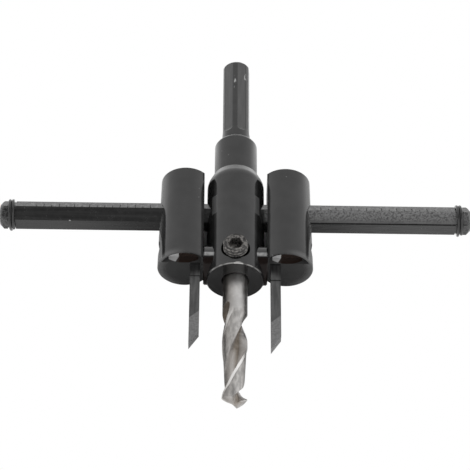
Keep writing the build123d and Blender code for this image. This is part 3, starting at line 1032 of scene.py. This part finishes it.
@dataclass
class PilotDrill:
    """Twist drill with two helical flutes that run out below its shank, relieved lands and a two-lip point."""

    material: Material
    node: str = "pilot_drill"
    radius: float = 4.0 * MM
    web: float = 1.5 * MM
    flute_radius: float = 2.75 * MM
    pitch: float = 52.8 * MM
    turn: float = 127.5
    tip_twist: float = 42.0
    tip_twist_run: Span = (32.0 * MM, 38.0 * MM)
    lip_twist: float = 32.0
    flute_top: float = BAR_Y - 37.5 * MM
    run_out: float = 13.0 * MM
    run_out_rise: float = 3.25 * MM
    heel_relief: float = 0.8 * MM
    margin_step: float = 0.25 * MM
    margin: float = 1.0 * MM
    relief_run: Span = (2.6 * MM, 7.6 * MM)
    point_angle: float = 134.0
    clearance: float = 11.0
    shank_chamfer: float = 0.5 * MM
    overlap: float = 1.0 * MM
    sides: int = 252
    rows: int = 150
    crease: float = 24.0

    def __post_init__(self) -> None:
        """Takes the drill's length from its CAD node."""
        low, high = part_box(self.node)
        self.tip, self.top = low.y, high.y
        self.fluted = self.flute_top - self.tip
        self.offset = self.web / 2 + self.flute_radius
        cosine = (self.radius**2 + self.offset**2 - self.flute_radius**2) / (2 * self.radius * self.offset)
        self.heel = acos(cosine)

    def body(self) -> Mesh:
        """Fluted wall from just above the flutes to beyond the point, open at both ends.

        Returns:
            The wall's mesh, in its place, with "flute" and "margin" set to 1 on those surfaces.
        """
        t = Pattern(
            "drill_body", radius=self.radius, flute=self.flute_radius, offset=self.offset, pitch=self.pitch,
            turn=radians(self.turn), tip_twist=radians(self.tip_twist), run_out=self.run_out, rise=self.run_out_rise,
            heel=self.heel, margin=pi - self.heel - self.margin / self.radius, relief=self.heel_relief,
            step=self.margin_step, start=-self.overlap, length=self.fluted + 2 * self.overlap,
            columns=self.sides + 1, rows=self.rows,
        )
        size = t.size
        sheet, across, along = t.sheet()
        round_axis, down = across * (2 * pi), along * size.length + size.start
        # Angle from the nearer flute's middle, and the land's radius from its heel to its margin
        half = t.math("MODULO", round_axis, pi)
        off = t.least(half, pi - half)
        share = t.math("DIVIDE", half - size.heel, size.margin - size.heel, clamp=True)
        relief = size.relief - share * (size.relief - size.step)
        relief = relief * t.math("LESS_THAN", half, size.margin)
        fade = t.ramp(down, *self.relief_run)
        land = size.radius - relief * fade
        # Each flute is a round groove whose middle moves outwards where it runs out
        left = t.most(1.0 - down / size.run_out, 0.0)
        centre = size.offset + left * left * size.rise
        sideways, cosine = centre * t.math("SINE", off), t.math("COSINE", off)
        bore = size.flute * size.flute
        groove = centre * cosine - t.math("SQRT", t.most(bore - sideways * sideways, 0.0))
        # Its mouth ends where its circle meets the drill's, and a radial wall stands there
        square = size.radius * size.radius + centre * centre - bore
        shut = t.math("LESS_THAN", cosine, square / (size.radius * centre * 2.0))
        groove = groove + shut * (10 * MM)
        radius = t.least(land, groove)
        twist = t.most(down, 0.0) / size.pitch * (2 * pi) + t.ramp(down, *self.tip_twist_run) * size.tip_twist
        angle = round_axis + size.turn + twist
        height = radius * t.math("SINE", angle) + AXIS_Z
        place = t.vector(radius * t.math("COSINE", angle), self.flute_top - down, height)
        fluted = t.math("LESS_THAN", groove, land - 0.01 * MM)
        edge = (1.0 - fluted) * t.math("GREATER_THAN", half, size.margin)
        marked = t.store(t.store(sheet, "flute", fluted), "margin", edge * fade)
        return t.mesh(t.bend(marked, place), self.material, f"{self.node}_fluted")

    def shank(self, shape: Shape) -> None:
        """Closes the top with the plain shank and its chamfered end.

        Args:
            shape: The drill's wall.
        """
        start = self.flute_top + self.overlap
        rim = [e for e in shape.edges if e.is_boundary and all(abs(v.co.y - start) < 0.01 * MM for v in e.verts)]
        for y, radius in ((self.top - self.shank_chamfer, self.radius), (self.top, self.radius - self.shank_chamfer)):
            made = bmesh.ops.extrude_edge_only(shape, edges=rim)["geom"]
            for vert in (part for part in made if isinstance(part, Vert)):
                across = Vector((vert.co.x, vert.co.z - AXIS_Z)).normalized() * radius
                vert.co = (across.x, y, AXIS_Z + across.y)
            rim = [part for part in made if isinstance(part, bmesh.types.BMEdge) and part.is_boundary]
        bmesh.ops.contextual_create(shape, geom=rim)

    def point(self, shape: Shape) -> None:
        """Grinds the two flanks, which fall to the rim and away behind each lip.

        Args:
            shape: The drill's wall.
        """
        tip = Vector((0, self.tip, AXIS_Z))
        fall, behind = tan(radians(self.point_angle / 2)), tan(radians(self.clearance))
        turn = radians(self.turn + self.lip_twist) + 2 * pi * self.fluted / self.pitch - self.heel
        for angle in (turn, turn + pi):
            outwards, ahead = Vector((cos(angle), 0, sin(angle))), Vector((-sin(angle), 0, cos(angle)))
            normal = outwards / fall - ahead * behind - Vector((0, 1, 0))
            everything = shape.verts[:] + shape.edges[:] + shape.faces[:]
            cut = bmesh.ops.bisect_plane(shape, geom=everything, plane_co=tip, plane_no=normal, clear_outer=True)
            edges = [part for part in cut["geom_cut"] if isinstance(part, bmesh.types.BMEdge)]
            bmesh.ops.contextual_create(shape, geom=edges)

    def build(self) -> None:
        """Makes the drill in place of its CAD node."""
        mesh = self.body()
        shape = bmesh.new()
        shape.from_mesh(mesh)
        self.shank(shape)
        self.point(shape)
        settle(shape, mesh, self.material, self.crease)
        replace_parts(add_piece(mesh, f"{self.node}_fluted", self.node), self.node)


@dataclass
class Hub:
    """Hub with its shank, the pilot drill and the screw that clamps it."""

    screws: Material
    screw_socket: float = 4.0 * MM
    boss_radius: float = 6.4 * MM
    boss_root: float = 5.5 * MM
    boss_end: float = 10.36 * MM
    boss_edge: float = 0.35 * MM
    boss_y: float = BAR_Y - 20.2 * MM
    boss_sides: int = 96
    crease: float = 32.0

    def boss(self, side: Side, material: Material) -> None:
        """Turned boss that keeps the holder off the hub's side.

        Args:
            side: The side of the hub that it stands on.
            material: Its material.
        """
        end, radius = self.boss_end, self.boss_radius
        outline = (
            (self.boss_root, 0.0), (self.boss_root, radius), (end - self.boss_edge, radius),
            (end, radius - self.boss_edge), (end, 0.0),
        )
        shape = bmesh.new()
        verts = [shape.verts.new((side.value * x, self.boss_y, AXIS_Z + reach)) for x, reach in outline]
        edges = [shape.edges.new(pair) for pair in zip(verts, verts[1:])]
        centre = (0, self.boss_y, AXIS_Z)
        bmesh.ops.spin(shape, geom=verts + edges, cent=centre, axis=(1, 0, 0), angle=2 * pi, steps=self.boss_sides)
        bmesh.ops.remove_doubles(shape, verts=shape.verts, dist=MERGE / 2)
        mesh = bpy.data.meshes.new(side.node("boss"))
        settle(shape, mesh, material, self.crease)
        add_piece(mesh, side.node("boss"), "hub")

    def build(self) -> None:
        """Dresses the hub, and makes its bosses, the drill and the screw."""
        dress("hub_body", HubOxide().material())
        bosses = BossOxide().material()
        for side in Side:
            self.boss(side, bosses)
        PilotDrill(DrillSteel().material()).build()
        SetScrew("drill_set_screw", Vector((0, 0, 1)), self.screw_socket, self.screws).build()


@dataclass
class Holder:
    """Cutter holder with its two set screws and its cutter."""

    side: Side
    screws: Material
    bar_screw_socket: float = 4.0 * MM
    cutter_screw_socket: float = 3.0 * MM
    cutter_screw_pitch: float = 1.0 * MM

    def build(self) -> None:
        """Dresses the holder and its cutter, and makes its screws."""
        holder, cutter = self.side.node("holder"), self.side.node("cutter")
        dress(holder, HolderOxide(name=f"{holder}_oxide", side=self.side).material())
        dress(cutter, CutterSteel(name=f"{cutter}_steel", side=self.side).material())
        along, out = Vector((0, 1, 0)), Vector((self.side.value, 0, 0))
        SetScrew(self.side.node("bar_screw"), along, self.bar_screw_socket, self.screws).build()
        socket, pitch = self.cutter_screw_socket, self.cutter_screw_pitch
        SetScrew(self.side.node("cutter_screw"), out, socket, self.screws, pitch).build()


# ---- studio ----


@dataclass
class Studio:
    """White table, soft light all round, and the camera."""

    tilt: float = 40.0
    turn: float = 0.787
    roll: float = 1.387
    distance: float = 700 * MM
    aim: Triple = (-0.1 * MM, BAR_Y - 4.28 * MM, AXIS_Z - 3.59 * MM)
    view_width: float = 155.12 * MM
    sensor: float = 36.0
    table_size: float = 6.0
    table_drop: float = 0.02 * MM
    light: float = 0.9
    dim: float = 0.12
    opening: Triple = (-0.05, -0.05, 0.9975)
    opening_edge: Span = (0.86, 0.93)
    seen_shade: Triple = (11.5, -16.725, 10.475)
    glossy_shade: Triple = (30.0, -51.525, 26.475)

    def camera(self) -> None:
        """Places the camera as in the photograph."""
        data = bpy.data.cameras.new("camera")
        data.sensor_width = self.sensor
        data.lens = self.sensor * self.distance / self.view_width
        data.clip_start, data.clip_end = 0.01, 20.0
        camera = add_object("camera", data)
        tilt, turn = radians(self.tilt), radians(self.turn)
        back = Vector((-sin(turn) * sin(tilt), -cos(turn) * sin(tilt), cos(tilt)))
        look = (-back).to_track_quat("-Z", "Y").to_matrix().to_4x4()
        spin = Matrix.Rotation(radians(self.roll), 4, "Z")
        camera.matrix_world = Matrix.Translation(Vector(self.aim) + back * self.distance) @ look @ spin
        bpy.context.scene.camera = camera

    def world(self) -> None:
        """Soft light from all round, dim above the front, where the light tent is open."""
        world = bpy.data.worlds.new("studio")
        world.use_nodes = True
        bpy.context.scene.world = world
        t = Tree(world.node_tree)
        output = t.add("ShaderNodeOutputWorld")
        way = t.get("ShaderNodeTexCoord", out="Generated")
        towards = t.get("ShaderNodeVectorMath", {0: way, 1: self.opening}, "Value", operation="DOT_PRODUCT")
        level = t.ramp(towards, *self.opening_edge, self.light, self.dim)
        strength = t.most(level, t.get("ShaderNodeLightPath", out="Is Camera Ray"))
        t.feed(output.inputs[0], t.get("ShaderNodeBackground", {"Color": (1, 1, 1, 1), "Strength": strength}))

    def shade(self, s: Surface, box: Triple, soft: float) -> Value:
        """1 where the table glows, outside the box of a half width and two places along the tool."""
        return 1.0 - s.within(s.x, -box[0], box[0], soft) * s.within(s.y, box[1], box[2], soft)

    def table(self) -> None:
        """White table top; only the narrow gaps beside the hub show its own shade."""
        mesh = bpy.data.meshes.new("table")
        half = self.table_size / 2
        mesh.from_pydata([(-half, -half, 0), (half, -half, 0), (half, half, 0), (-half, half, 0)], [], [(0, 1, 2, 3)])
        table = add_object("table", mesh)
        table.location.z = -self.table_drop
        s = Surface("table_white")
        s.set(Base_Color=(0.82, 0.82, 0.82, 1), Roughness=0.6)
        camera, glossy, clear = (
            s.get("ShaderNodeLightPath", out=f"Is {kind} Ray") for kind in ("Camera", "Glossy", "Transmission")
        )
        seen = camera * self.shade(s, self.seen_shade, 1.5)
        mirrored = s.most(glossy, clear) * self.shade(s, self.glossy_shade, 30.0)
        glow = s.get("ShaderNodeEmission", {"Color": (1, 1, 1, 1), "Strength": 1.0})
        own = Value(s, s.shader.outputs[0])
        s.feed(s.output.inputs[0], s.get("ShaderNodeMixShader", {0: s.most(seen, mirrored), 1: own, 2: glow}))
        mesh.materials.append(s.material)

    def build(self) -> None:
        """Builds the whole studio."""
        self.world()
        self.table()
        self.camera()
        bpy.context.scene.view_settings.view_transform = "Standard"


def main() -> None:
    """Builds every sub-assembly in order, then the studio."""
    logging.basicConfig(level=logging.INFO, format="%(name)s: %(message)s")
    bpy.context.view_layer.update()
    screws = ScrewSteel().material()
    Hub(screws).build()
    CrossBar().build()
    for side in Side:
        Holder(side, screws).build()
    Studio().build()


if __name__ == "__main__":
    main()
